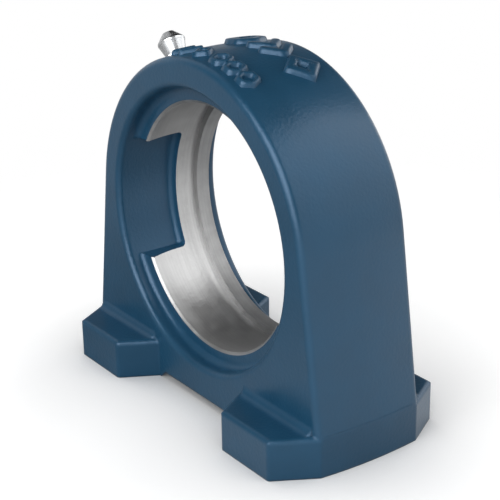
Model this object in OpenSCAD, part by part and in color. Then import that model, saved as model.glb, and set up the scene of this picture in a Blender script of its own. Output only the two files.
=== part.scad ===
// Pillow block housing: one iron casting with a spherical bearing seat and two loading slots,
// four lugs over the ends of the base, and a lubrication nipple in the ring.
// X runs along the base, Y along the bore, Z up. The origin is the middle of the underside.
// The two loading slots open at the front face, on the -Y side.

/* [Bearing seat] */
// Outer diameter of the insert bearing that the spherical seat takes
bearing_d = 62; // [58:1:68]
// Width of the machined seat along the bore
seat_w = 20.5; // [18:0.5:21.5]
// Width of the machined chamfer at each end of the seat
lip_w = 0.45; // [0.3:0.05:0.8]
// Rise of that chamfer away from the bore
lip_rise = 0.6; // [0.3:0.1:0.9]
// Distance of the middle of the grease groove from the middle of the seat
groove_y = 5.4; // [5:0.1:7]
// Width of the grease groove
groove_w = 2.8; // [2.2:0.1:3.2]
// Depth of the grease groove below the seat
groove_depth = 0.7; // [0.5:0.1:1.2]

/* [Ring] */
// Width of the ring and of the middle of the base
ring_w = 29; // [28:0.5:32]
// Wall between the mouth of the bore and the outside of the ring
ring_wall = 7.6; // [7:0.2:10]
// Fall of the crowned outside from the middle to each face
crown = 0.9; // [0.5:0.1:1.5]
// Rounding of the outer edges of the ring
ring_edge_r = 1.6; // [0.8:0.1:2.2]
// Step from the seat out to the wall of the mouth
mouth_step = 2.4; // [2:0.1:3.2]
// Rounding of the edge of the mouth
mouth_edge_r = 1.3; // [0.6:0.1:1.6]
// Fillet between the floor and the wall of the mouth
mouth_fillet_r = 1.5; // [0.8:0.1:1.7]

/* [Loading slots] */
// Height of each slot in the seat
slot_h = 30; // [24:1:34]
// Distance that each slot runs past the middle of the seat
slot_past = 1; // [0:0.2:2]
// Rounding of the two inner corners of each slot
slot_corner_r = 1.3; // [0.8:0.1:2]
// Fillet between the floor and the inner end of each slot
slot_fillet_r = 1.5; // [0.8:0.1:2]

/* [Base] */
// Metal between the underside and the mouth of the bore
floor_t = 9.5; // [8.5:0.5:14]
// Distance that the base stands out past the ring at each end
wall_flare = 5.5; // [3.5:0.5:9]
// Thickness of the lugs
foot_h = 9.7; // [8.5:0.1:12]
// Width over the lugs
foot_w = 47; // [42:1:54]
// Distance from the end of the base to the outer corner of a lug
lug_corner = 6.65; // [5:0.05:8]
// Length of the front of a lug
lug_front = 17.45; // [14:0.05:18.5]
// Extra length of a lug at its root, towards the middle
lug_spread = 5.2; // [3:0.1:6]
// Rounding of the edges of the lugs
lug_edge_r = 1.1; // [0.6:0.1:1.8]
// Fillet between the top of a lug and the face of the ring
lug_fillet_r = 2.2; // [1.2:0.1:3.5]
// Length of the flat pad under each end
pad_len = 29.8; // [29.4:0.1:32]
// Height of the relief between the pads
relief_h = 1.85; // [1:0.05:2.5]
// Slope of each side of the relief along the base
relief_slope = 2.2; // [0.5:0.1:3]

/* [Tapped holes] */
// Distance from the end of the base to a hole
hole_margin = 13.5; // [11:0.5:16]
// Diameter of the tapping hole
tap_d = 8.5; // [6.8:0.1:10.2]
// Depth of the full diameter
tap_depth = 18; // [12:1:20]

/* [Lubrication nipple] */
// Lean of the nipple from the upright towards the -X end
nipple_angle = 35.5; // [25:0.5:45]
// Distance of the nipple from the middle of the ring, towards the back
nipple_y = -1.5; // [-2:0.1:0]
// Diameter of the spot face
spot_d = 9; // [8.4:0.1:11]
// Depth of the spot face below the crown of the ring
spot_depth = 0.3; // [0.25:0.05:0.6]
// Diameter of the thread
thread_d = 6; // [5:0.1:6.5]
// Length of the thread
thread_len = 5.5; // [4.5:0.1:5.8]
// Diameter of the drilled passage from the thread to the groove
passage_d = 2.4; // [1.5:0.1:2.6]
// Width of the hexagon across its flats
hex_af = 7; // [6.5:0.1:8]
// Height of the hexagon
hex_h = 2; // [1.6:0.1:2.8]
// Diameter of the neck
neck_d = 5; // [4.2:0.1:5.6]
// Diameter of the head
head_d = 6.8; // [6.2:0.1:7.2]
// Height of the nipple above its spot face
nipple_h = 8; // [7.6:0.1:9.2]
// Diameter of the flat at the top of the head
top_d = 3; // [2.7:0.1:3.8]

/* [Cast marks] */
// Height of the raised marks on top of the ring
mark_h = 0.9; // [0.6:0.1:1.4]
// Width of the bars of the marks
mark_w = 1.4; // [1:0.1:1.7]
// Size of one mark
mark_size = 8.6; // [7.4:0.1:9]
// Distance from one mark to the next along the ring
mark_pitch = 10.6; // [10:0.1:12]
// Place of the first mark along the ring, from its top
mark_from = -6; // [-8:0.5:-5]
// Distance of the marks from the middle of the ring, towards the back
mark_y = 5.4; // [4.4:0.1:6]

/* [Check valve in the nipple] */
// Diameter of the ball
ball_d = 2; // [1.8:0.05:2.2]
// Diameter of the opening that the ball closes
orifice_d = 1.5; // [1.2:0.05:1.6]
// Diameter of the chamber behind the ball
chamber_d = 2.6; // [2.4:0.05:2.8]
// Diameter of the wire of the spring
wire_d = 0.3; // [0.2:0.02:0.36]
// Number of turns of the spring
coils = 8; // [6:1:10]

/* [Hidden] */
// Clearances of the fits
thread_gap = 0.05;
ball_gap = 0.01;
spring_gap = 0.1;
spring_seat_gap = 0.01;
// Ledge where a wall stands on the end of the base, and the run of the wall into the base
wall_ledge = 0.15;
wall_sink = 0.6;
// Depth of the marks' roots in the ring, and start of the slots' cutter inside the seat
mark_root = 1;
slot_root = 4;
// Bend of the bent bars, distance between the two, and start of the first one
mark_bend = 0.85;
mark_bar_step = 4.5;
mark_lead = 3.7;
// Overlap of each rounding with the faces that it joins
blend = 0.005;
// Roundness of the curved faces
$fn = 96;
// Derived sizes of the bore
seat_r = bearing_d / 2;
seat_half = seat_w / 2;
lip_y = seat_half - lip_w;
seat_end_r = sqrt(seat_r * seat_r - lip_y * lip_y);
lip_r = seat_end_r + lip_rise;
mouth_r = seat_r + mouth_step;
groove_r = seat_r + groove_depth;
core_r = seat_r / 2;
lip_run = 0.1;
// Derived sizes of the ring and of the walls that run down from it
ring_r = mouth_r + ring_wall;
half_w = ring_w / 2;
centre_h = mouth_r + floor_t;
half_len = ring_r + wall_flare;
base_len = 2 * half_len;
crown_r = (half_w * half_w + crown * crown) / (2 * crown);
foot_drop = centre_h - foot_h;
wall_foot = half_len - wall_ledge;
wall_lean = acos(ring_r / norm([wall_foot, foot_drop])) - atan2(foot_drop, wall_foot);
wall_run = (centre_h + ring_r) / cos(wall_lean);
edge_v = half_w - ring_edge_r;
edge_u = ring_r - crown_r + sqrt((crown_r - ring_edge_r) * (crown_r - ring_edge_r) - edge_v * edge_v);
flat_end = (edge_u + sin(wall_lean) * (foot_drop - lug_fillet_r)) / cos(wall_lean);
// Plan of one lug: root, two front corners and the corner at the end of the base
lug_root = [half_len - lug_corner - lug_front - lug_spread, half_w];
lug_in = [half_len - lug_corner - lug_front, foot_w / 2];
lug_out = [half_len - lug_corner, foot_w / 2];
lug_end = [half_len - crown, half_w - 0.7];
root_way = (lug_in - lug_root) / norm(lug_in - lug_root);
front_way = [1, 0];
end_way = (lug_end - lug_out) / norm(lug_end - lug_out);
// The same plan moved in by the rounding of its edges
root_in = lug_root + lug_edge_r * inward(root_way) - 1.5 * root_way;
front_in = corner_in(lug_in, root_way, front_way);
front_out = corner_in(lug_out, front_way, end_way);
end_in = lug_end + lug_edge_r * inward(end_way) + 5 * end_way;
// Derived sizes of the nipple, measured up from its spot face
spot_r = ring_r - spot_depth;
thread_r = thread_d / 2;
hole_depth = thread_len + 0.5;
drill_tan = tan(31);
neck_top = hex_h + 0.3;
head_base = 5;
head_top = 6;
lip_t = 0.35;
orifice_r = orifice_d / 2;
chamber_r = chamber_d / 2;
chamber_top = nipple_h - lip_t;
chamber_floor = -1.5;
ball_r = ball_d / 2;
ball_h = chamber_top - sqrt(ball_r * ball_r - orifice_r * orifice_r) - ball_gap;
wire_r = wire_d / 2;
coil_r = chamber_r - spring_gap - wire_r;
touch_r = ball_r + wire_r;
coil_lean_r = min(coil_r, 0.8 * touch_r);
spring_lo = chamber_floor + wire_r + spring_seat_gap;
spring_hi = ball_h - sqrt(touch_r * touch_r - coil_lean_r * coil_lean_r) - spring_seat_gap;
coil_steps = 14;
wire_sides = 6;

// Direction into the lug, to the right of an edge that runs clockwise
function inward(way) = [way[1], -way[0]];

// Corner between two edges, moved in by the rounding of the edges
function corner_in(corner, way_a, way_b) =
  corner + lug_edge_r * (inward(way_a) + inward(way_b)) / (1 + inward(way_a) * inward(way_b));

// Axial section of the ring and cross-section of the walls: crowned outside, rounded outer edges
module ring_section(inner) {
  difference() {
    intersection() {
      translate([inner, -half_w])
        square([ring_r - inner, ring_w]);
      translate([ring_r - crown_r, 0])
        circle(crown_r, $fn = 360);
    }
    edge_waste();
    mirror([0, 1])
      edge_waste();
  }
}

// Metal outside the rounding of one outer edge
module edge_waste() {
  reach_u = (edge_u - ring_r + crown_r) * 2 * ring_edge_r / crown_r;
  reach_v = edge_v * 2 * ring_edge_r / crown_r;
  difference() {
    polygon([
      [edge_u, edge_v],
      [edge_u, half_w + 1],
      [ring_r + 1, half_w + 1],
      [edge_u + reach_u, edge_v + reach_v]
    ]);
    translate([edge_u, edge_v])
      circle(ring_edge_r + blend);
  }
}

// Turn a profile of radius and bore position about the bore axis
module around_bore() {
  translate([0, 0, centre_h])
    rotate([-90, 0, 0])
      rotate_extrude($fn = 180)
        children();
}

// Put a flat mark upright on the ring, by its distance along the ring from the top
module on_ring(along) {
  translate([0, mark_y, centre_h])
    rotate([0, along / ring_r * 180 / PI, 0])
      translate([0, 0, ring_r - 2 * mark_root])
        linear_extrude(3 * mark_root + mark_h)
          children();
}

// Frame of equal sides and even width
module frame_mark(sides) {
  difference() {
    circle(d = mark_size, $fn = sides);
    circle(d = mark_size - 2 * mark_w / cos(180 / sides), $fn = sides);
  }
}

// Bent bar that points along the ring
module bent_mark(start) {
  half_y = mark_size / 2 - mark_w / 2;
  tip = half_y * mark_bend;
  half_x = mark_w / 2 * sqrt(1 + mark_bend * mark_bend);
  translate([start, 0])
    polygon([
      [-half_x, -half_y],
      [half_x, -half_y],
      [tip + half_x, 0],
      [half_x, half_y],
      [-half_x, half_y],
      [tip - half_x, 0]
    ]);
}

// Raised cast marks, plain shapes whose tops follow the crown of the ring
module cast_marks() {
  intersection() {
    around_bore()
      intersection() {
        translate([ring_r - mark_root, 0])
          square([mark_root + mark_h, half_w]);
        translate([ring_r - crown_r, 0])
          circle(crown_r + mark_h, $fn = 360);
      }
    union() {
      on_ring(mark_from)
        frame_mark(6);
      on_ring(mark_from + mark_pitch) {
        bent_mark(-mark_lead);
        bent_mark(mark_bar_step - mark_lead);
      }
      on_ring(mark_from + 2 * mark_pitch)
        frame_mark(4);
    }
  }
}

// Top of the ring, from one wall over to the other
module ring_arch() {
  translate([0, 0, centre_h])
    rotate([-90, 0, 0])
      rotate([0, 0, 180 + wall_lean])
        rotate_extrude(angle = 180 - 2 * wall_lean, $fn = 180)
          ring_section(0);
}

// The same section carried straight down from the ring to the end of the base
module end_wall() {
  intersection() {
    translate([0, 0, centre_h])
      rotate([0, -wall_lean, 0])
        translate([0, 0, -wall_run])
          linear_extrude(wall_run)
            ring_section(-ring_r / 3);
    translate([-ring_r, -ring_w, foot_h - wall_sink])
      cube([half_len + ring_r + 1, 2 * ring_w, centre_h + ring_r]);
  }
}

// Outline between the two convex ends of the base
module end_arcs() {
  intersection() {
    translate([half_len - crown_r, 0])
      circle(crown_r, $fn = 360);
    translate([crown_r - half_len, 0])
      circle(crown_r, $fn = 360);
  }
}

// Ring, walls and the middle of the base
module ring_and_walls() {
  ring_arch();
  end_wall();
  mirror([1, 0, 0])
    end_wall();
  translate([-lug_out[0], -half_w, 0])
    cube([2 * lug_out[0], ring_w, foot_h]);
}

// Metal on the inner side of one edge of a lug, with the top of that edge rounded
module lug_side(corner, way) {
  translate([corner[0], corner[1], 0])
    rotate([90, 0, 90 + atan2(way[1], way[0])])
      translate([0, 0, -base_len])
        linear_extrude(2 * base_len)
          difference() {
            translate([-base_len, -1])
              square([base_len, foot_h + 1]);
            translate([0, foot_h])
              fillet_waste(lug_edge_r);
          }
}

// Waste outside the rounding of one front corner of a lug
module lug_corner_waste(corner, centre, way_a, way_b) {
  reach = 1.5 * lug_edge_r;
  difference() {
    polygon([
      centre,
      centre - reach * inward(way_a),
      centre + 1.5 * (corner - centre),
      centre - reach * inward(way_b)
    ]);
    translate(centre)
      circle(lug_edge_r + blend);
  }
}

// Outline of a lug, run on inside the middle of the base and past its end
module lug_plan() {
  inside = lug_root - 1.5 * root_way;
  past = lug_end + 5 * end_way;
  difference() {
    polygon([
      [inside[0], 0],
      inside,
      lug_in,
      lug_out,
      past,
      [past[0], 0]
    ]);
    lug_corner_waste(lug_in, front_in, root_way, front_way);
    lug_corner_waste(lug_out, front_out, front_way, end_way);
  }
}

// Flat top of a lug, inside the rounding of its edges
module lug_top_plan() {
  polygon([
    [root_in[0], 0],
    root_in,
    front_in,
    front_out,
    end_in,
    [end_in[0], 0]
  ]);
}

// Fillet from the top of a lug up to the face of the ring
module lug_fillet() {
  intersection() {
    translate([lug_root[0], 0, 0])
      rotate([90, 0, 90])
        linear_extrude(flat_end - lug_root[0])
          difference() {
            translate([half_w - 0.5, foot_h - 0.5])
              square([lug_fillet_r + 0.5, lug_fillet_r + 0.5]);
            translate([half_w + lug_fillet_r, foot_h + lug_fillet_r])
              circle(lug_fillet_r + blend);
          }
    linear_extrude(foot_h + lug_fillet_r + 1)
      lug_top_plan();
  }
}

// One lug at the +X end, on the +Y side
module lug() {
  intersection() {
    linear_extrude(foot_h)
      lug_plan();
    lug_side(lug_in, root_way);
    lug_side(lug_in, front_way);
    lug_side(lug_out, end_way);
    linear_extrude(foot_h + 1)
      end_arcs();
  }
  lug_fillet();
}

// Corner to take off a square so that a fillet of the given radius stays
module fillet_waste(radius) {
  difference() {
    translate([-radius, -radius])
      square([radius + 1, radius + 1]);
    translate([-radius, -radius])
      circle(radius + blend);
  }
}

// Axial section of both mouths and both chamfers, with straight lines in place of the seat
module mouths_profile() {
  front = half_w + 1;
  round_r = mouth_r + mouth_edge_r;
  round_y = half_w - mouth_edge_r;
  difference() {
    polygon([
      [0, -front],
      [round_r, -front],
      [round_r, -round_y],
      [mouth_r, -round_y],
      [mouth_r, -seat_half],
      [lip_r, -seat_half],
      [seat_end_r - lip_run, lip_w * lip_run / lip_rise - lip_y],
      [core_r, 0],
      [seat_end_r - lip_run, lip_y - lip_w * lip_run / lip_rise],
      [lip_r, seat_half],
      [mouth_r, seat_half],
      [mouth_r, round_y],
      [round_r, round_y],
      [round_r, front],
      [0, front]
    ]);
    mouth_rounding();
    mirror([0, 1])
      mouth_rounding();
  }
}

// Metal that rounds the edge and fills the corner of the mouth towards +Y
module mouth_rounding() {
  translate([mouth_r + mouth_edge_r, half_w - mouth_edge_r])
    circle(mouth_edge_r);
  translate([mouth_r, seat_half])
    mirror([0, 1])
      fillet_waste(mouth_fillet_r);
}

// Everything that is cut about the bore axis: seat, chamfers, groove and both mouths
module bore() {
  around_bore() {
    mouths_profile();
    intersection() {
      circle(seat_r, $fn = 360);
      translate([core_r, -seat_half])
        square([seat_r, seat_w]);
    }
    translate([core_r + 3, groove_y - groove_w / 2])
      square([groove_r - core_r - 3, groove_w]);
  }
}

// Two loading slots, level with the bore axis, open towards -Y
module loading_slots() {
  front = half_w + 1;
  intersection() {
    around_bore()
      difference() {
        translate([seat_r - slot_root, -front])
          square([mouth_r - seat_r + slot_root, front + slot_past]);
        translate([mouth_r, slot_past])
          fillet_waste(slot_fillet_r);
      }
    translate([-mouth_r - 1, 0, centre_h])
      rotate([90, 0, 90])
        linear_extrude(2 * mouth_r + 2)
          slot_outline(front);
  }
}

// Outline of a slot seen along X: straight sides, two rounded corners at the inner end
module slot_outline(front) {
  half_h = slot_h / 2;
  difference() {
    translate([-front, -half_h])
      square([front + slot_past, slot_h]);
    translate([slot_past, half_h])
      fillet_waste(slot_corner_r);
    mirror([0, 1])
      translate([slot_past, half_h])
        fillet_waste(slot_corner_r);
  }
}

// Relief across the underside between the two pads
module relief() {
  foot = half_len - pad_len;
  rotate([90, 0, 0])
    translate([0, 0, -foot_w / 2])
      linear_extrude(foot_w)
        polygon([
          [-foot, 0],
          [relief_slope - foot, relief_h],
          [foot - relief_slope, relief_h],
          [foot, 0],
          [foot, -1],
          [-foot, -1]
        ]);
}

// Tapping hole from the underside with its drill point
module tapping_hole() {
  translate([half_len - hole_margin, 0, 0]) {
    translate([0, 0, -1])
      cylinder(d = tap_d, h = tap_depth + 1);
    translate([0, 0, tap_depth])
      cylinder(d1 = tap_d, d2 = 0, h = tap_d / 2 * drill_tan);
  }
}

// Put a piece on the nipple axis, standing on the spot face
module on_nipple_axis() {
  translate([0, nipple_y, centre_h])
    rotate([0, -nipple_angle, 0])
      translate([0, 0, spot_r])
        children();
}

// Spot face, tapped hole and the passage that is drilled through it to the grease groove
module nipple_hole() {
  passage_from = [-1, -1.5];
  passage_to = [groove_y + 0.2 - nipple_y, groove_r + 0.05 - spot_r];
  way = passage_to - passage_from;
  on_nipple_axis() {
    cylinder(d = spot_d, h = spot_depth + 2);
    translate([0, 0, -hole_depth])
      cylinder(r = thread_r + thread_gap, h = hole_depth + 1);
    translate([0, 0, -hole_depth - (thread_r + thread_gap) * drill_tan])
      cylinder(r1 = 0, r2 = thread_r + thread_gap, h = (thread_r + thread_gap) * drill_tan);
    translate([0, passage_from[0], passage_from[1]])
      rotate([-atan2(way[0], way[1]), 0, 0])
        cylinder(d = passage_d, h = norm(way), $fn = 48);
  }
}

// The casting: ring with its walls and lugs in one, machined in the bore and drilled
module housing() {
  color("steelblue")
    difference() {
      union() {
        ring_and_walls();
        cast_marks();
        lug();
        mirror([1, 0, 0])
          lug();
        mirror([0, 1, 0]) {
          lug();
          mirror([1, 0, 0])
            lug();
        }
      }
      bore();
      loading_slots();
      relief();
      tapping_hole();
      mirror([1, 0, 0])
        tapping_hole();
      nipple_hole();
    }
}

// Hexagon with its upper corners turned off
module nipple_hexagon() {
  corner_r = hex_af / 2 / cos(30);
  intersection() {
    cylinder(r = corner_r, h = hex_h, $fn = 6);
    cylinder(r1 = corner_r + hex_h * 1.7 - 0.5, r2 = corner_r - 0.5, h = hex_h);
  }
}

// Turned outside of the nipple: thread, neck, head that a grease coupler grips, cone and top
module nipple_outline() {
  polygon([
    [0, -thread_len],
    [thread_r - 0.5, -thread_len],
    [thread_r, 0.5 - thread_len],
    [thread_r, 0.2],
    [neck_d / 2, 0.2],
    [neck_d / 2, neck_top],
    [head_d / 2 - 0.12, head_base],
    [head_d / 2, head_base + 0.3],
    [head_d / 2, head_top - 0.3],
    [head_d / 2 - 0.15, head_top],
    [top_d / 2 + 0.25, nipple_h - 0.4],
    [top_d / 2, nipple_h - 0.1],
    [top_d / 2 - 0.3, nipple_h],
    [0, nipple_h]
  ]);
}

// Grease way inside the nipple: opening, seat of the ball, chamber and outlet
module nipple_way() {
  polygon([
    [0, nipple_h + 1],
    [orifice_r, nipple_h + 1],
    [orifice_r, chamber_top],
    [chamber_r, chamber_top - (chamber_r - orifice_r)],
    [chamber_r, chamber_floor],
    [chamber_r - 0.5, chamber_floor],
    [chamber_r - 0.5, -thread_len - 1],
    [0, -thread_len - 1]
  ]);
}

// Body of the lubrication nipple
module nipple_body() {
  color("silver")
    on_nipple_axis()
      difference() {
        union() {
          rotate_extrude()
            nipple_outline();
          nipple_hexagon();
        }
        rotate_extrude()
          nipple_way();
      }
}

// Ball that closes the opening from inside
module check_ball() {
  color("lightgrey")
    on_nipple_axis()
      translate([0, 0, ball_h])
        sphere(ball_r);
}

// Height of the wire along the spring: closed turns at both ends and open turns between
function coil_rise(turn) =
  wire_d * 1.05 * (min(turn, 1) + max(turn - coils + 1, 0))
  + (spring_hi - spring_lo - wire_d * 2.1) / (coils - 2) * min(max(turn - 1, 0), coils - 2);

// Radius of the wire: the last turn closes in on the ball
function coil_radius(turn) =
  coil_r + (coil_lean_r - coil_r) * max(turn - coils + 1, 0);

// Point on the surface of the wire
function wire_point(turn, side) =
  let (spoke = coil_radius(turn) + wire_r * cos(side))
  [
    spoke * cos(360 * turn),
    spoke * sin(360 * turn),
    spring_lo + coil_rise(turn) + wire_r * sin(side)
  ];

// Spring that presses the ball against its seat
module check_spring() {
  last = coils * coil_steps;
  points = [
    for (i = [0 : last])
      for (k = [0 : wire_sides - 1])
        wire_point(i / coil_steps, 360 * k / wire_sides)
  ];
  skin = [
    for (i = [0 : last - 1])
      for (k = [0 : wire_sides - 1])
        let (a = i * wire_sides + k, b = i * wire_sides + (k + 1) % wire_sides)
        [a, b, b + wire_sides, a + wire_sides]
  ];
  first_end = [for (k = [wire_sides - 1 : -1 : 0]) k];
  last_end = [for (k = [0 : wire_sides - 1]) last * wire_sides + k];
  color("dimgrey")
    on_nipple_axis()
      polyhedron(points = points, faces = concat(skin, [first_end, last_end]), convexity = 10);
}

housing();
nipple_body();
check_ball();
check_spring();
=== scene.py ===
"""Looks of a pillow block housing, laid out as an add-on and run as a script."""

import math

import bmesh
import bpy
import numpy as np
from mathutils import Matrix, Vector


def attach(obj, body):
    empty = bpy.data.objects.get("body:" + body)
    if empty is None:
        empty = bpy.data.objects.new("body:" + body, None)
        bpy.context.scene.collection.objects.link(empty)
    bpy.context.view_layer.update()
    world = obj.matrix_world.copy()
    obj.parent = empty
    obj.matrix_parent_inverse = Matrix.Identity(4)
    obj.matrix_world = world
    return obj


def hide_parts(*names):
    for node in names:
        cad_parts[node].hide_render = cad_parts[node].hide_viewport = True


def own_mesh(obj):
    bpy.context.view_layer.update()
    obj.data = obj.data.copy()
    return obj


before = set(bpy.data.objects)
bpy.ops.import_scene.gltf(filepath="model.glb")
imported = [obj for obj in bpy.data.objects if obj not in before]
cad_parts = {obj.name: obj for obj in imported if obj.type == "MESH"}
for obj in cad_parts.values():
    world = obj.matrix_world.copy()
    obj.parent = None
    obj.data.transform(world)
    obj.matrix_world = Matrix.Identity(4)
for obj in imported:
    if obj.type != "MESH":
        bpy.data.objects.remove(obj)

bl_info = {
    "name": "Pillow block housing looks",
    "version": (1, 0, 0),
    "blender": (4, 5, 0),
    "location": "3D View > Sidebar > Housing",
    "description": "Enamel, turned iron, plated nipple, marks and studio of a housing",
    "category": "Object",
}

# Sizes that the looks share with the CAD part, in metres
BORE_AXIS = Vector((0.0, 0.0, 0.0429))
SEAT_R = 0.031
GROOVE_R = 0.0317
LIP_R = 0.03006
SEAT_HALF = 0.01027
RING_R = 0.041
CROWN_R = 0.11726
FOOT_HOLE_X = 0.033
FOOT_HOLE_R = 0.00425
FOOT_HOLE_DEPTH = 0.018
# The grease groove lies between these two places along the bore
GROOVE_FROM = 0.0039
GROOVE_TO = 0.0069
# Points this close together, or to a surface of the CAD part, count as on it
ON_IT = 2e-5
COUNTERSINK = 0.0002
FLOOR_R = 0.9
FLOOR_DROP = 5e-5


def linear(code):
    """Scene colour of an sRGB hex code."""
    parts = [int(code[i:i + 2], 16) / 255 for i in (1, 3, 5)]
    return [p / 12.92 if p <= 0.04045 else ((p + 0.055) / 1.055) ** 2.4 for p in parts]


def shade(colour, part):
    """Darker or lighter tone of a scene colour."""
    return [min(1.0, c * part) for c in colour]


def add(tree, kind, inputs=None, **settings):
    """Add a shader node; inputs are values or other nodes' outputs, by name or number."""
    node = tree.nodes.new("ShaderNode" + kind)
    for name, value in settings.items():
        setattr(node, name, value)
    for key, value in (inputs or {}).items():
        if isinstance(value, bpy.types.NodeSocket):
            tree.links.new(value, node.inputs[key])
        else:
            node.inputs[key].default_value = value
    return node


def new_material(name):
    """Empty node material with its tree and its output node."""
    material = bpy.data.materials.new(name)
    material.use_nodes = True
    material.node_tree.nodes.clear()
    out = material.node_tree.nodes.new("ShaderNodeOutputMaterial")
    return material, material.node_tree, out


def enamel_material(look):
    """Blue alkyd enamel sprayed on sand-cast iron: satin, a little orange peel over the soft
    unevenness of the mould, and a film that lies slightly thicker and darker in places."""
    material, tree, out = new_material("blue_enamel_on_cast_iron")
    place = add(tree, "TexCoord").outputs["Object"]
    # Mould sand 0.9 mm, orange peel 0.75 mm, uneven casting 9 mm across
    sand = add(tree, "TexNoise", {
        "Vector": place, "Scale": 1 / 0.0009, "Detail": 1.0, "Roughness": 0.5})
    peel = add(tree, "TexNoise", {"Vector": place, "Scale": 1 / look.peel_size, "Detail": 1.0})
    swell = add(tree, "TexNoise", {"Vector": place, "Scale": 1 / 0.009, "Detail": 2.0})
    thick = add(tree, "MapRange", {0: swell.outputs[0], 1: 0.35, 2: 0.65})
    colour = add(tree, "Mix", {
        0: thick.outputs[0], 6: [*shade(look.enamel_colour, 0.96), 1],
        7: [*shade(look.enamel_colour, 1.04), 1]}, data_type="RGBA")
    gloss = add(tree, "MapRange", {
        0: swell.outputs[0], 1: 0.35, 2: 0.65, 3: look.enamel_roughness - 0.02,
        4: look.enamel_roughness + 0.02})
    # The film draws back from sharp corners, so they catch the light as if rounded by 0.9 mm
    worn = add(tree, "Bevel", {"Radius": look.corner_round}, samples=6)
    uneven = add(tree, "Bump", {
        "Strength": 0.15, "Distance": 0.0004, "Height": swell.outputs[0],
        "Normal": worn.outputs[0]})
    grain = add(tree, "Bump", {
        "Strength": 0.12, "Distance": look.peel_height, "Height": sand.outputs[0],
        "Normal": uneven.outputs[0]})
    film = add(tree, "Bump", {
        "Strength": 0.35, "Distance": look.peel_height, "Height": peel.outputs[0],
        "Normal": grain.outputs[0]})
    paint = add(tree, "BsdfPrincipled", {
        "Base Color": colour.outputs[2], "Metallic": 0.0, "Roughness": gloss.outputs[0], "IOR": 1.5,
        "Specular IOR Level": 0.5, "Specular Tint": [*linear("#d0e4ff"), 1],
        "Normal": film.outputs[0]})
    tree.links.new(paint.outputs[0], out.inputs[0])
    return material


def turned_iron_material(look):
    """Grey cast iron turned on a lathe: a dull grey metal with fine rings round the bore and
    the dark mottling of its graphite."""
    material, tree, out = new_material("turned_grey_iron")
    place = add(tree, "TexCoord").outputs["Object"]
    from_axis = add(tree, "VectorMath", {0: place, 1: BORE_AXIS}, operation="SUBTRACT")
    parts = add(tree, "SeparateXYZ", {0: from_axis.outputs[0]})
    turn = add(tree, "Math", {0: parts.outputs[2], 1: parts.outputs[0]}, operation="ARCTAN2")
    # The feed of 0.15 mm a turn is too fine for the picture and is drawn about 0.5 mm wide
    across = add(tree, "Math", {0: parts.outputs[1], 1: 1 / look.feed}, operation="MULTIPLY")
    ring_place = add(tree, "CombineXYZ", {0: across.outputs[0], 1: turn.outputs[0]})
    rings = add(tree, "TexNoise", {
        "Vector": ring_place.outputs[0], "Scale": 1.0, "Detail": 3.0, "Roughness": 0.6})
    # Graphite and cutting smears, 3 mm and 0.8 mm across
    smear = add(tree, "TexNoise", {
        "Vector": place, "Scale": 1 / 0.003, "Detail": 4.0, "Roughness": 0.65})
    speck = add(tree, "TexNoise", {"Vector": place, "Scale": 1 / 0.0008, "Detail": 2.0})
    blotch = add(tree, "Math", {0: smear.outputs[0], 1: rings.outputs[0]}, operation="MULTIPLY")
    dull = add(tree, "MapRange", {0: blotch.outputs[0], 1: 0.12, 2: 0.36})
    colour = add(tree, "Mix", {
        0: dull.outputs[0], 6: [*shade(look.iron_colour, 0.86), 1], 7: [*look.iron_colour, 1]},
        data_type="RGBA")
    gloss = add(tree, "MapRange", {0: smear.outputs[0], 1: 0.3, 2: 0.7, 3: 0.36, 4: 0.45})
    feed = add(tree, "Bump", {"Strength": 0.2, "Distance": 0.00004, "Height": rings.outputs[0]})
    pits = add(tree, "Bump", {
        "Strength": 0.5, "Distance": 0.00008, "Height": speck.outputs[0],
        "Normal": feed.outputs[0]})
    metal = add(tree, "BsdfPrincipled", {
        "Base Color": colour.outputs[2], "Metallic": 1.0, "Roughness": gloss.outputs[0],
        "Normal": pits.outputs[0]})
    tree.links.new(metal.outputs[0], out.inputs[0])
    return material


def milled_iron_material(look):
    """Grey cast iron faced with a milling cutter: bare metal with wide, faint curved strokes."""
    material, tree, out = new_material("milled_grey_iron")
    place = add(tree, "TexCoord").outputs["Object"]
    # Strokes of a cutter of 80 mm that passes along the base, a stroke every 1.2 mm
    stroke = add(tree, "VectorMath", {0: place, 1: Vector((-0.08, 0.0, 0.0))}, operation="SUBTRACT")
    arcs = add(tree, "TexWave", {
        "Vector": stroke.outputs[0], "Scale": 1 / 0.0012 / math.tau * 2, "Distortion": 0.6,
        "Detail": 2.0}, wave_type="RINGS", rings_direction="Z")
    smear = add(tree, "TexNoise", {"Vector": place, "Scale": 1 / 0.004, "Detail": 4.0})
    dull = add(tree, "MapRange", {0: smear.outputs[0], 1: 0.35, 2: 0.65})
    colour = add(tree, "Mix", {
        0: dull.outputs[0], 6: [*shade(look.iron_colour, 0.78), 1], 7: [*look.iron_colour, 1]},
        data_type="RGBA")
    gloss = add(tree, "MapRange", {0: arcs.outputs[1], 1: 0.0, 2: 1.0, 3: 0.38, 4: 0.46})
    cut = add(tree, "Bump", {"Strength": 0.2, "Distance": 0.00003, "Height": arcs.outputs[1]})
    metal = add(tree, "BsdfPrincipled", {
        "Base Color": colour.outputs[2], "Metallic": 1.0, "Roughness": gloss.outputs[0],
        "Normal": cut.outputs[0]})
    tree.links.new(metal.outputs[0], out.inputs[0])
    return material


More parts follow.
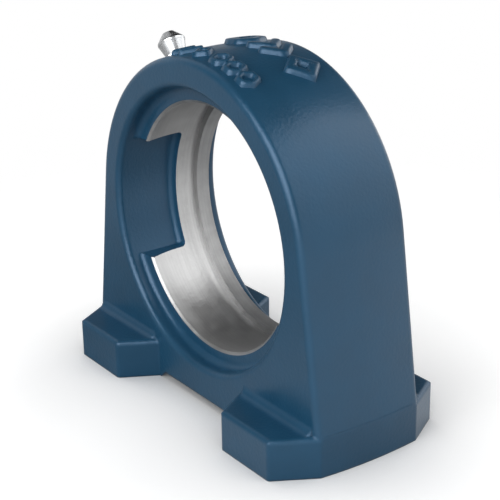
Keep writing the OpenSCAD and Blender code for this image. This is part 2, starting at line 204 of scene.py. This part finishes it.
def zinc_material(look):
    """Steel with bright zinc plate: pale, faintly blue metal with soft mirror reflections and
    the turning rings under the thin plate."""
    material, tree, out = new_material("bright_zinc_plated_steel")
    place = add(tree, "TexCoord").outputs["Object"]
    # Plate grows in patches about 1.5 mm across; cloudiness of the chromate 0.5 mm
    patch = add(tree, "TexNoise", {"Vector": place, "Scale": 1 / 0.0015, "Detail": 2.0})
    cloud = add(tree, "TexNoise", {"Vector": place, "Scale": 1 / 0.0005, "Detail": 2.0})
    bright = add(tree, "MapRange", {0: patch.outputs[0], 1: 0.35, 2: 0.65})
    colour = add(tree, "Mix", {
        0: bright.outputs[0], 6: [*shade(look.zinc_colour, 0.9), 1], 7: [*look.zinc_colour, 1]},
        data_type="RGBA")
    gloss = add(tree, "MapRange", {0: cloud.outputs[0], 1: 0.3, 2: 0.7, 3: 0.22, 4: 0.32})
    skin = add(tree, "Bump", {"Strength": 0.08, "Distance": 0.00005, "Height": cloud.outputs[0]})
    metal = add(tree, "BsdfPrincipled", {
        "Base Color": colour.outputs[2], "Metallic": 1.0, "Roughness": gloss.outputs[0],
        "Normal": skin.outputs[0]})
    tree.links.new(metal.outputs[0], out.inputs[0])
    return material


def ball_material(look):
    """Lapped bearing steel: a clear mirror with hardly a mark."""
    material, tree, out = new_material("lapped_bearing_steel")
    place = add(tree, "TexCoord").outputs["Object"]
    haze = add(tree, "TexNoise", {"Vector": place, "Scale": 1 / 0.0003, "Detail": 1.0})
    gloss = add(tree, "MapRange", {0: haze.outputs[0], 1: 0.3, 2: 0.7, 3: 0.06, 4: 0.1})
    colour = add(tree, "Mix", {
        0: haze.outputs[0], 6: [*shade(look.ball_colour, 0.94), 1], 7: [*look.ball_colour, 1]},
        data_type="RGBA")
    metal = add(tree, "BsdfPrincipled", {
        "Base Color": colour.outputs[2], "Metallic": 1.0, "Roughness": gloss.outputs[0]})
    tree.links.new(metal.outputs[0], out.inputs[0])
    return material


def spring_material(look):
    """Cold-drawn spring wire: grey steel with a soft gloss and fine dark drawing marks."""
    material, tree, out = new_material("drawn_spring_wire")
    place = add(tree, "TexCoord").outputs["Object"]
    marks = add(tree, "TexNoise", {"Vector": place, "Scale": 1 / 0.0002, "Detail": 3.0})
    drawn = add(tree, "MapRange", {0: marks.outputs[0], 1: 0.35, 2: 0.65})
    colour = add(tree, "Mix", {
        0: drawn.outputs[0], 6: [*shade(look.wire_colour, 0.8), 1], 7: [*look.wire_colour, 1]},
        data_type="RGBA")
    gloss = add(tree, "MapRange", {0: marks.outputs[0], 1: 0.3, 2: 0.7, 3: 0.26, 4: 0.36})
    metal = add(tree, "BsdfPrincipled", {
        "Base Color": colour.outputs[2], "Metallic": 1.0, "Roughness": gloss.outputs[0]})
    tree.links.new(metal.outputs[0], out.inputs[0])
    return material


def carry(piece, body):
    """Put a new piece into the scene, on its body."""
    bpy.context.scene.collection.objects.link(piece)
    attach(piece, body)
    return piece


def casting_mesh():
    """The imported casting's points, faces and corner normals, without the two plain walls of the
    foot holes, and the rim points of each hole below and above."""
    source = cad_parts["housing"].data
    points = np.array([v.co for v in source.vertices])
    normals = np.array([n.vector for n in source.corner_normals])
    rims = {}
    wall = np.zeros(len(points), bool)
    for side in (-1, 1):
        reach = np.hypot(points[:, 0] - side * FOOT_HOLE_X, points[:, 1])
        on_wall = abs(reach - FOOT_HOLE_R) < ON_IT
        wall |= on_wall
        for name, level in (("low", 0.0), ("high", FOOT_HOLE_DEPTH)):
            rims[side, name] = points[on_wall & (abs(points[:, 2] - level) < ON_IT)]
    faces, corners = [], []
    for face in source.polygons:
        here = list(face.vertices)
        level = points[here][:, 2]
        rises = level.max() > 5 * ON_IT and level.min() < FOOT_HOLE_DEPTH - 5 * ON_IT
        plain_wall = wall[here].all() and rises
        if not plain_wall:
            faces.append(here)
            corners.append(normals[face.loop_start:face.loop_start + face.loop_total])
    return points, faces, np.concatenate(corners), rims


def finish_number(centre):
    """Which finish a face of the casting has: 0 enamel, 1 turned iron, 2 milled iron."""
    from_axis = centre - np.array(BORE_AXIS)
    reach = math.hypot(from_axis[0], from_axis[2])
    along = abs(from_axis[1])
    if np.linalg.norm(from_axis) < SEAT_R + ON_IT and along < SEAT_HALF:
        return 1
    if reach < GROOVE_R + ON_IT and GROOVE_FROM < from_axis[1] < GROOVE_TO:
        return 1
    if reach < LIP_R and along < SEAT_HALF:
        return 1
    if centre[2] < ON_IT:
        return 2
    for side in (-1, 1):
        # The drilled point of the hole goes a little deeper than its wall
        in_hole = math.hypot(centre[0] - side * FOOT_HOLE_X, centre[1]) < FOOT_HOLE_R + 5e-5
        if in_hole and centre[2] < FOOT_HOLE_DEPTH + 0.006:
            return 2
    return 0


def threaded_hole(side, rims, look):
    """Points and faces of one tapped hole: countersink, thread cut into the wall, plain end."""
    centre = np.array([side * FOOT_HOLE_X, 0.0])
    rim = rims[side, "low"]
    turns = np.unique(np.round(np.arctan2(rim[:, 1], rim[:, 0] - centre[0]), 4))
    steps = np.arange(0.00015, look.thread_depth, look.thread_pitch / 10)
    levels = [0.0, *steps, FOOT_HOLE_DEPTH]
    points, faces = [], []
    for level in levels:
        sunk = look.thread_outer / 2 + COUNTERSINK - level
        fade = min(1.0, max(0.0, (look.thread_depth - level) / look.thread_pitch))
        for turn in turns:
            phase = (level / look.thread_pitch - turn / math.tau) % 1.0
            wave = min(1.0, max(0.0, 2.4 * abs(phase - 0.5) - 0.1))
            cut = FOOT_HOLE_R + (look.thread_outer / 2 - FOOT_HOLE_R) * wave * fade
            reach = max(sunk, cut) if level < FOOT_HOLE_DEPTH else FOOT_HOLE_R
            points.append((centre[0] + reach * math.cos(turn), reach * math.sin(turn), level))
    count = len(turns)
    for row in range(len(levels) - 1):
        for i in range(count):
            j = (i + 1) % count
            low, high = row * count, (row + 1) * count
            faces.append([low + i, high + i, high + j, low + j])
    return points, faces


class HOUSING_PG_finish(bpy.types.PropertyGroup):
    """Finish of the casting."""

    enamel_colour: bpy.props.FloatVectorProperty(
        name="Enamel", description="Colour of the enamel", subtype="COLOR", size=3, min=0, max=1,
        default=linear("#1d4762"))
    enamel_roughness: bpy.props.FloatProperty(
        name="Enamel roughness", description="How dull the enamel is", subtype="FACTOR",
        min=0.1, max=0.9, default=0.31)
    corner_round: bpy.props.FloatProperty(
        name="Corner round", description="Radius by which the film rounds a corner",
        subtype="DISTANCE", unit="LENGTH", min=0.0, max=0.002, precision=5, default=0.0009)
    peel_size: bpy.props.FloatProperty(
        name="Peel size", description="Width of a bump of the orange peel", subtype="DISTANCE",
        unit="LENGTH", min=0.0002, max=0.003, precision=5, default=0.00075)
    peel_height: bpy.props.FloatProperty(
        name="Peel height", description="Height of the orange peel", subtype="DISTANCE",
        unit="LENGTH", min=0.0, max=0.0005, precision=5, default=0.00012)
    iron_colour: bpy.props.FloatVectorProperty(
        name="Bare iron", description="Colour of the machined iron", subtype="COLOR", size=3,
        min=0, max=1, default=linear("#acacac"))
    feed: bpy.props.FloatProperty(
        name="Turning rings", description="Drawn distance of the turning rings", subtype="DISTANCE",
        unit="LENGTH", min=0.0001, max=0.002, precision=5, default=0.0005)
    thread_outer: bpy.props.FloatProperty(
        name="Thread diameter", description="Outer diameter of the threads in the base",
        subtype="DISTANCE", unit="LENGTH", min=0.009, max=0.011, precision=4, default=0.010)
    thread_pitch: bpy.props.FloatProperty(
        name="Thread pitch", description="Rise of the thread in one turn", subtype="DISTANCE",
        unit="LENGTH", min=0.001, max=0.002, precision=4, default=0.0015)
    thread_depth: bpy.props.FloatProperty(
        name="Thread depth", description="Depth to which the thread is cut", subtype="DISTANCE",
        unit="LENGTH", min=0.008, max=0.016, precision=4, default=0.0155)


class HOUSING_PG_marks(bpy.types.PropertyGroup):
    """Raised cast marks on top of the ring."""

    mark_height: bpy.props.FloatProperty(
        name="Height", description="Height of the marks above the ring", subtype="DISTANCE",
        unit="LENGTH", min=0.0003, max=0.002, precision=4, default=0.0011)
    large_stroke: bpy.props.FloatProperty(
        name="Large stroke", description="Stroke width of the large marks", subtype="DISTANCE",
        unit="LENGTH", min=0.0008, max=0.003, precision=4, default=0.0021)
    small_stroke: bpy.props.FloatProperty(
        name="Small stroke", description="Stroke width of the small marks", subtype="DISTANCE",
        unit="LENGTH", min=0.0004, max=0.002, precision=4, default=0.0009)


class HOUSING_PG_nipple(bpy.types.PropertyGroup):
    """Finishes of the lubrication nipple."""

    zinc_colour: bpy.props.FloatVectorProperty(
        name="Zinc", description="Colour of the plated body", subtype="COLOR", size=3, min=0, max=1,
        default=linear("#c8cacc"))
    ball_colour: bpy.props.FloatVectorProperty(
        name="Ball", description="Colour of the check ball", subtype="COLOR", size=3, min=0, max=1,
        default=linear("#c9c9c9"))
    wire_colour: bpy.props.FloatVectorProperty(
        name="Wire", description="Colour of the spring wire", subtype="COLOR", size=3, min=0, max=1,
        default=linear("#9a9a98"))


class HOUSING_PG_stage(bpy.types.PropertyGroup):
    """Floor and light."""

    floor_colour: bpy.props.FloatVectorProperty(
        name="Floor", description="Colour of the floor", subtype="COLOR", size=3, min=0, max=1,
        default=linear("#f8f8f8"))
    bounce_colour: bpy.props.FloatVectorProperty(
        name="Bounce", description="Colour of the floor as it lights the casting", subtype="COLOR",
        size=3, min=0, max=1, default=linear("#949494"))
    side_power: bpy.props.FloatProperty(
        name="Side light", description="Power of the large soft light at the right", unit="POWER",
        min=0, max=100, default=0.4)
    front_power: bpy.props.FloatProperty(
        name="Front light", description="Power of the soft light at the front left", unit="POWER",
        min=0, max=100, default=2.8)
    fill_power: bpy.props.FloatProperty(
        name="Fill light", description="Power of the light on the back; the left gets 0.6 of it",
        unit="POWER", min=0, max=100, default=0.8)
    card_glow: bpy.props.FloatProperty(
        name="Card glow", description="Brightness of the white cards in reflections", min=0, max=10,
        default=3.4)


class HOUSING_OT_dress_casting(bpy.types.Operator):
    """Enamel on the casting, bare iron in the seat, under the feet and in the tapped holes"""

    bl_idname = "housing.dress_casting"
    bl_label = "Dress the casting"

    def execute(self, context):
        look = context.scene.housing_finish
        points, faces, corners, rims = casting_mesh()
        if min(len(r) for r in rims.values()) < 12:
            raise RuntimeError("the rims of the foot holes weren't found in the packed casting")
        # The mouth of each hole opens to the countersink
        for side in (-1, 1):
            reach = np.hypot(points[:, 0] - side * FOOT_HOLE_X, points[:, 1])
            mouth = (abs(reach - FOOT_HOLE_R) < ON_IT) & (points[:, 2] < ON_IT)
            grow = (look.thread_outer / 2 + COUNTERSINK) / FOOT_HOLE_R
            middle = side * FOOT_HOLE_X
            points[mouth, 0] = middle + (points[mouth, 0] - middle) * grow
            points[mouth, 1] *= grow
        numbers = [finish_number(points[f].mean(0)) for f in faces]
        all_points, all_faces = [points], list(faces)
        base = len(points)
        for side in (-1, 1):
            more, skin = threaded_hole(side, rims, look)
            all_points.append(np.array(more))
            all_faces += [[base + i for i in f] for f in skin]
            numbers += [2] * len(skin)
            base += len(more)
        all_points = np.concatenate(all_points)
        mesh = bpy.data.meshes.new("painted_casting")
        mesh.from_pydata(all_points.tolist(), [], all_faces)
        for finish in (enamel_material, turned_iron_material, milled_iron_material):
            mesh.materials.append(finish(look))
        mesh.polygons.foreach_set("material_index", numbers)
        mesh.polygons.foreach_set("use_smooth", [True] * len(all_faces))
        mesh.update()
        own = np.array([n.vector for n in mesh.corner_normals])
        own[:len(corners)] = corners
        mesh.normals_split_custom_set(own.tolist())
        piece = bpy.data.objects.new("painted_casting", mesh)
        carry(piece, "casting")
        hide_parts("housing")
        return {"FINISHED"}


# A bar's path is cut into steps of about this length, and its round ends into this many parts
PATH_STEP = 0.0006
CAP_STEPS = 12


def stroke_rows(path, closed, width, height):
    """Rounded, drafted bar along a flat path: levels of its outline from the foot to the top."""
    path = [Vector(p) for p in path]
    fine = []
    count = len(path)
    for i in range(count if closed else count - 1):
        a, b = path[i], path[(i + 1) % count]
        steps = max(1, round((b - a).length / PATH_STEP))
        fine += [a.lerp(b, k / steps) for k in range(steps)]
    if not closed:
        fine.append(path[-1])
    half = width / 2
    levels = [(half + 0.00042, -0.0003), (half + 0.00018, height * 0.3), (half, height * 0.72),
              (half - 0.00014, height * 0.93), (half - 0.0004, height), (0.0, height)]
    levels = [(max(0.0, o), h) for o, h in levels]
    size = len(fine)

    def across(i):
        before = fine[(i - 1) % size] if closed or i > 0 else None
        after = fine[(i + 1) % size] if closed or i < size - 1 else None
        ways = [v.normalized() for v in (
            (fine[i] - before) if before is not None else None,
            (after - fine[i]) if after is not None else None) if v is not None]
        way = sum(ways, Vector((0.0, 0.0))).normalized()
        stretch = 1 / max(0.5, way.dot(ways[0]))
        return Vector((-way.y, way.x)) * stretch

    sides = [across(i) for i in range(size)]
    cap = [Matrix.Rotation(-math.pi * k / CAP_STEPS, 2) for k in range(1, CAP_STEPS)]
    rows, other = [], []
    for offset, rise in levels:
        row = [(fine[i] + sides[i] * offset, rise) for i in range(size)]
        back = [(fine[i] - sides[i] * offset, rise) for i in range(size)]
        if closed:
            other.insert(0, back)
        else:
            row += [(fine[-1] + (turn @ sides[-1]) * offset, rise) for turn in cap]
            row += back[::-1]
            row += [(fine[0] - (turn @ sides[0]) * offset, rise) for turn in cap]
        rows.append(row)
    # The top row has no width, so the other side of a closed bar starts below it
    return rows + other[1:]


# Raised marks of the CAD part, in millimetres: the bars' middle lines, along the ring and across it
MARK_W = 1.4
MARK_SIZE = 8.6
MARK_PITCH = 10.6
MARK_FROM = -6.0
MARK_Y = 5.4
MARK_BEND = 0.85
MARK_BAR_STEP = 4.5
MARK_LEAD = 3.7


def frame_path(centre, sides):
    """Middle line of a frame of equal sides."""
    reach = MARK_SIZE / 2 - MARK_W / 2 / math.cos(math.pi / sides)
    turns = [k * math.tau / sides for k in range(sides)]
    return True, [(centre + reach * math.cos(t), MARK_Y + reach * math.sin(t)) for t in turns]


def bent_path(start):
    """Middle line of a bent bar."""
    half = MARK_SIZE / 2 - MARK_W / 2
    tip = half - 0.3
    return False, [
        (start, MARK_Y - tip), (start + half * MARK_BEND, MARK_Y), (start, MARK_Y + tip)]


LARGE_MARKS = [
    frame_path(MARK_FROM, 6),
    bent_path(MARK_FROM + MARK_PITCH - MARK_LEAD),
    bent_path(MARK_FROM + MARK_PITCH - MARK_LEAD + MARK_BAR_STEP),
    frame_path(MARK_FROM + 2 * MARK_PITCH, 4),
]
SMALL_MARKS = [
    (False, [(-10.6, -11.3), (-8.4, -7.3)]),
    (False, [(-7.6, -11.3), (-5.4, -7.3)]),
    (True, [(-3.2, -9.3), (-1.6, -11.2), (0.0, -9.3), (-1.6, -7.4)]),
]
# Three hexagons, 5 mm apart
SMALL_HEXAGON = ((-1.0, -11.2), (1.0, -11.2), (2.0, -9.3), (1.0, -7.4), (-1.0, -7.4), (-2.0, -9.3))
SMALL_MARKS += [(True, [(middle + s, y) for s, y in SMALL_HEXAGON]) for middle in (5.4, 10.4, 15.4)]


class HOUSING_OT_raise_marks(bpy.types.Operator):
    """Raised cast marks on top of the ring: plain shapes without meaning"""

    bl_idname = "housing.raise_marks"
    bl_label = "Raise the cast marks"

    def execute(self, context):
        marks = context.scene.housing_marks
        points, faces = [], []
        for group, width in ((LARGE_MARKS, marks.large_stroke), (SMALL_MARKS, marks.small_stroke)):
            for closed, path in group:
                path = [(s / 1000, y / 1000) for s, y in path]
                rows = stroke_rows(path, closed, width, marks.mark_height)
                first, count = len(points), len(rows[0])
                for row in rows:
                    for place, rise in row:
                        turn = place.x / RING_R
                        out = Vector((math.sin(turn), 0.0, math.cos(turn)))
                        crown = RING_R - CROWN_R + math.sqrt(CROWN_R ** 2 - place.y ** 2)
                        along = BORE_AXIS + Vector((0.0, place.y, 0.0))
                        points.append(along + out * (crown + rise))
                for r in range(len(rows) - 1):
                    for i in range(count):
                        j = (i + 1) % count
                        low, high = first + r * count, first + (r + 1) * count
                        faces.append((low + i, low + j, high + j, high + i))
        mesh = bpy.data.meshes.new("cast_marks")
        mesh.from_pydata(points, [], faces)
        clean_up(mesh)
        mesh.materials.append(bpy.data.materials["blue_enamel_on_cast_iron"])
        piece = bpy.data.objects.new("cast_marks", mesh)
        carry(piece, "casting")
        return {"FINISHED"}


def clean_up(mesh):
    """Join points that coincide, drop faces without area, turn all faces outwards."""
    work = bmesh.new()
    work.from_mesh(mesh)
    bmesh.ops.remove_doubles(work, verts=work.verts, dist=2e-6)
    bmesh.ops.dissolve_degenerate(work, edges=work.edges, dist=1e-6)
    bmesh.ops.recalc_face_normals(work, faces=work.faces)
    for face in work.faces:
        face.smooth = True
    work.to_mesh(mesh)
    work.free()


class HOUSING_OT_plate_nipple(bpy.types.Operator):
    """Zinc plate on the nipple, a lapped ball and a drawn spring inside it"""

    bl_idname = "housing.plate_nipple"
    bl_label = "Plate the nipple"

    def execute(self, context):
        look = context.scene.housing_nipple
        finishes = {
            "nipple_body": zinc_material(look),
            "check_ball": ball_material(look),
            "check_spring": spring_material(look),
        }
        for name, material in finishes.items():
            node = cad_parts[name]
            if not node.material_slots:
                raise RuntimeError(f"{name} has no material slot")
            for material_slot in node.material_slots:
                material_slot.material = material
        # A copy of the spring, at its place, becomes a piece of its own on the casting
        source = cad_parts["check_spring"]
        mesh = source.data.copy()
        mesh.transform(source.matrix_world)
        spring = bpy.data.objects.new("valve_spring", mesh)
        carry(spring, "casting")
        spring.material_slots[0].material = finishes["check_spring"]
        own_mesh(spring)
        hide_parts("check_spring")
        return {"FINISHED"}


def soft_light(name, place, aim, width, height, power):
    """Area lamp of a photographer's soft box."""
    lamp = bpy.data.lights.new(name, "AREA")
    lamp.shape = "RECTANGLE"
    lamp.size, lamp.size_y = width, height
    lamp.energy = power
    holder = bpy.data.objects.new(name, lamp)
    holder.location = place
    holder.rotation_euler = (Vector(aim) - Vector(place)).to_track_quat("-Z", "Y").to_euler()
    bpy.context.scene.collection.objects.link(holder)
    return holder


def reflection_card(name, place, aim, width, height, foot, head):
    """White glowing card that shows only in reflections, a painted reflection that is no lamp; its
    glow goes from foot to head.
    """
    mesh = bpy.data.meshes.new(name)
    x, y = width / 2, height / 2
    mesh.from_pydata([(-x, -y, 0), (x, -y, 0), (x, y, 0), (-x, y, 0)], [], [(0, 1, 2, 3)])
    material, tree, out = new_material(name + "_painted_reflection")
    place_on = add(tree, "TexCoord").outputs["Object"]
    up = add(tree, "SeparateXYZ", {0: place_on})
    level = add(tree, "MapRange", {0: up.outputs[1], 1: -y, 2: y, 3: foot, 4: head})
    glow = add(tree, "Emission", {0: [1, 1, 1, 1], 1: level.outputs[0]})
    tree.links.new(glow.outputs[0], out.inputs[0])
    material.cycles.emission_sampling = "NONE"
    mesh.materials.append(material)
    card = bpy.data.objects.new(name, mesh)
    card.location = place
    card.rotation_euler = (Vector(aim) - Vector(place)).to_track_quat("-Z", "Y").to_euler()
    card.visible_camera = card.visible_diffuse = card.visible_shadow = False
    card.visible_transmission = False
    bpy.context.scene.collection.objects.link(card)


class HOUSING_OT_set_stage(bpy.types.Operator):
    """White floor, soft light from all sides with the most from the front, and the camera"""

    bl_idname = "housing.set_stage"
    bl_label = "Set the stage"

    def execute(self, context):
        look = context.scene.housing_stage
        scene = context.scene

        # Floor: white board that fades into the white background around it
        mesh = bpy.data.meshes.new("floor_board")
        turns = [k * math.tau / 96 for k in range(96)]
        rim = [(FLOOR_R * math.cos(t), FLOOR_R * math.sin(t), -FLOOR_DROP) for t in turns]
        mesh.from_pydata(rim, [], [list(range(len(rim)))])
        floor = bpy.data.objects.new("floor_board", mesh)
        scene.collection.objects.link(floor)
        material, tree, out = new_material("white_floor_board")
        place = add(tree, "TexCoord").outputs["Object"]
        reach = add(tree, "VectorMath", {0: place}, operation="LENGTH")
        fade = add(tree, "MapRange", {0: reach.outputs["Value"], 1: 0.07, 2: 0.19},
                   interpolation_type="SMOOTHSTEP")
        path = add(tree, "LightPath")
        # Painted contact shadow: near the casting, the board's colour and its glow to the camera
        # are darkened by its ambient occlusion and within 8 cm of the middle, standing in for the
        # room's light that the corner between board and casting doesn't get
        near = add(tree, "AmbientOcclusion", {"Distance": 0.048}, samples=12)
        ao_for_painted_shadow = add(tree, "MapRange", {0: near.outputs["AO"], 1: 0.3, 2: 0.985})
        # Painted shade over a disc round the middle: 0.82 within 5 cm, none beyond 8 cm
        painted_shade_disc = add(tree, "MapRange", {0: reach.outputs["Value"], 1: 0.05, 2: 0.08, 3: 0.82})
        open_part = add(tree, "Math", {0: ao_for_painted_shadow.outputs[0], 1: painted_shade_disc.outputs[0]},
                        operation="MULTIPLY")
        # Glow that makes the open board white to the camera, lowered in the painted contact shadow
        glow_with_painted_shadow = add(tree, "MapRange", {0: open_part.outputs[0], 3: 0.05, 4: 0.42})
        # The board's colour, darkened to 0.57 of it in the painted contact shadow
        painted_shadow_tone = add(tree, "Mix", {
            0: open_part.outputs[0], 6: [*shade(look.floor_colour, 0.57), 1],
            7: [*look.floor_colour, 1]}, data_type="RGBA")
        glow = add(tree, "Math", {0: path.outputs["Is Camera Ray"], 1: glow_with_painted_shadow.outputs[0]},
                   operation="MULTIPLY")
        # Light that the board throws back at the casting is kept low, as from a small board
        tone = add(tree, "Mix", {
            0: path.outputs["Is Camera Ray"], 6: [*look.bounce_colour, 1], 7: painted_shadow_tone.outputs[2]},
            data_type="RGBA")
        board = add(tree, "BsdfPrincipled", {
            "Base Color": tone.outputs[2], "Roughness": 0.6, "IOR": 1.45,
            "Emission Color": [1, 1, 1, 1], "Emission Strength": glow.outputs[0]})
        # Painted reflection: to reflected rays the board glows, brighter on the side of the lamps,
        # dimmer on the other and darker in the painted contact shadow
        where = add(tree, "SeparateXYZ", {0: place})
        bright = add(tree, "MapRange", {0: where.outputs[0], 1: -0.06, 2: 0.08, 3: 0.22, 4: 1.4})
        painted_reflection_shadow = add(tree, "MapRange", {0: open_part.outputs[0], 3: 0.3})
        painted_reflection_glow = add(tree, "Math", {0: bright.outputs[0], 1: painted_reflection_shadow.outputs[0]},
                        operation="MULTIPLY")
        # The board's glow, seen only in reflections, is a painted reflection
        mirrored = add(tree, "Emission", {0: [1, 1, 1, 1], 1: painted_reflection_glow.outputs[0]})
        shown = add(tree, "MixShader", {
            0: path.outputs["Is Glossy Ray"], 1: board.outputs[0], 2: mirrored.outputs[0]})
        clear = add(tree, "BsdfTransparent")
        # From below the board is clear, so that the underside can be looked at
        under = add(tree, "NewGeometry").outputs["Backfacing"]
        gone = add(tree, "Math", {0: fade.outputs[0], 1: under}, operation="MAXIMUM")
        both = add(tree, "MixShader", {
            0: gone.outputs[0], 1: shown.outputs[0], 2: clear.outputs[0]})
        tree.links.new(both.outputs[0], out.inputs[0])
        mesh.materials.append(material)

        # World: white to the camera, a pale room with a dark ceiling to the object
        world = bpy.data.worlds.new("pale_room")
        scene.world = world
        world.use_nodes = True
        tree = world.node_tree
        tree.nodes.clear()
        way = add(tree, "TexCoord").outputs["Generated"]
        parts = add(tree, "SeparateXYZ", {0: way})
        ceiling = add(tree, "MapRange", {0: parts.outputs[2], 1: 0.2, 2: 0.75, 3: 1.0, 4: 0.15},
                      interpolation_type="SMOOTHSTEP")
        wall = add(tree, "MapRange", {0: parts.outputs[0], 1: -0.3, 2: 0.5, 3: 0.12, 4: 0.5},
                   interpolation_type="SMOOTHSTEP")
        above = add(tree, "Math", {0: ceiling.outputs[0], 1: wall.outputs[0]}, operation="MULTIPLY")
        below = add(tree, "MapRange", {0: parts.outputs[0], 1: -0.3, 2: 0.5, 3: 0.55, 4: 1.6},
                    interpolation_type="SMOOTHSTEP")
        low = add(tree, "MapRange", {0: parts.outputs[2], 1: 0.08, 2: 0.28, 3: 1.0, 4: 0.0})
        room = add(tree, "Mix", {0: low.outputs[0], 2: above.outputs[0], 3: below.outputs[0]},
                   data_type="FLOAT")
        path = add(tree, "LightPath")
        seen = add(tree, "Math", {
            0: path.outputs["Is Camera Ray"], 1: path.outputs["Is Transmission Ray"]},
            operation="MAXIMUM")
        mirrored = add(tree, "Mix", {0: path.outputs["Is Glossy Ray"], 2: 0.38, 3: room.outputs[0]},
                       data_type="FLOAT")
        level = add(tree, "Mix", {0: seen.outputs[0], 2: mirrored.outputs[0], 3: 1.0},
                    data_type="FLOAT")
        sky = add(tree, "Background", {"Color": [1, 1, 1, 1], "Strength": level.outputs[0]})
        out = tree.nodes.new("ShaderNodeOutputWorld")
        tree.links.new(sky.outputs[0], out.inputs[0])

        # Each light and card: place, point it faces, width and height, then its power or glow
        middle, level_aim = (0.0, 0.0, 0.05), (0.0, 0.0, 0.36)
        soft_light("side_panel", (0.301, 0.334, 0.36), level_aim, 0.55, 0.72, look.side_power)
        soft_light("front_panel", (0.22, -0.471, 0.35), middle, 0.65, 0.5, look.front_power)
        soft_light("back_fill", (-0.03, 0.57, 0.2), middle, 0.5, 0.35, look.fill_power)
        soft_light("left_fill", (-0.486, -0.068, 0.394), middle, 0.4, 0.7, look.fill_power * 0.6)
        # The cards are painted reflections: they glow only for reflected rays and light nothing
        # else
        reflection_card(
            "side_card", (0.287, 0.319, 0.36), level_aim, 0.55, 0.72, 1.1, look.card_glow)
        reflection_card(
            "front_card", (0.21, -0.45, 0.34), middle, 0.62, 0.5, 4.5, look.card_glow * 2)

        # Camera solved from edges of the part in the picture
        azimuth, height, roll = (math.radians(a) for a in (-35.619, 21.385, -0.919))
        aim, distance = Vector((0.046006, -0.031652, 0.057143)), 0.264631
        back = Vector((
            math.cos(height) * math.cos(azimuth), math.cos(height) * math.sin(azimuth),
            math.sin(height)))
        right = (-back).cross(Vector((0, 0, 1))).normalized()
        up = right.cross(-back)
        side = right * math.cos(roll) + up * math.sin(roll)
        head = up * math.cos(roll) - right * math.sin(roll)
        place = aim + back * distance
        data = bpy.data.cameras.new("product_camera")
        data.sensor_width = 36.0
        data.lens = 1376.176 / 500 * 36
        data.clip_start, data.clip_end = 0.01, 20.0
        camera = bpy.data.objects.new("product_camera", data)
        camera.matrix_world = Matrix((
            (side.x, head.x, back.x, place.x), (side.y, head.y, back.y, place.y),
            (side.z, head.z, back.z, place.z), (0, 0, 0, 1)))
        scene.collection.objects.link(camera)
        scene.camera = camera
        scene.view_settings.view_transform = "Standard"
        return {"FINISHED"}


class HOUSING_PT_looks(bpy.types.Panel):
    """Settings and steps of the housing's looks"""

    bl_label = "Housing"
    bl_idname = "HOUSING_PT_looks"
    bl_space_type = "VIEW_3D"
    bl_region_type = "UI"
    bl_category = "Housing"

    def draw(self, context):
        scene = context.scene
        for group, operator in (
                ("housing_finish", "housing.dress_casting"),
                ("housing_marks", "housing.raise_marks"),
                ("housing_nipple", "housing.plate_nipple"),
                ("housing_stage", "housing.set_stage")):
            box = self.layout.box()
            values = getattr(scene, group)
            for name in values.__annotations__:
                box.prop(values, name)
            box.operator(operator)


GROUPS = {
    "housing_finish": HOUSING_PG_finish,
    "housing_marks": HOUSING_PG_marks,
    "housing_nipple": HOUSING_PG_nipple,
    "housing_stage": HOUSING_PG_stage,
}
OTHERS = (
    HOUSING_OT_dress_casting, HOUSING_OT_raise_marks, HOUSING_OT_plate_nipple,
    HOUSING_OT_set_stage, HOUSING_PT_looks,
)


def register():
    """Register the classes and hang the settings on the scene."""
    for name, group in GROUPS.items():
        bpy.utils.register_class(group)
        setattr(bpy.types.Scene, name, bpy.props.PointerProperty(type=group))
    for other in OTHERS:
        bpy.utils.register_class(other)


def unregister():
    """Undo register."""
    for other in reversed(OTHERS):
        bpy.utils.unregister_class(other)
    for name, group in reversed(GROUPS.items()):
        delattr(bpy.types.Scene, name)
        bpy.utils.unregister_class(group)


def main():
    """Dress the part and set the stage."""
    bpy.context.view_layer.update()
    register()
    bpy.ops.housing.dress_casting()
    bpy.ops.housing.raise_marks()
    bpy.ops.housing.plate_nipple()
    bpy.ops.housing.set_stage()


if __name__ == "__main__":
    main()
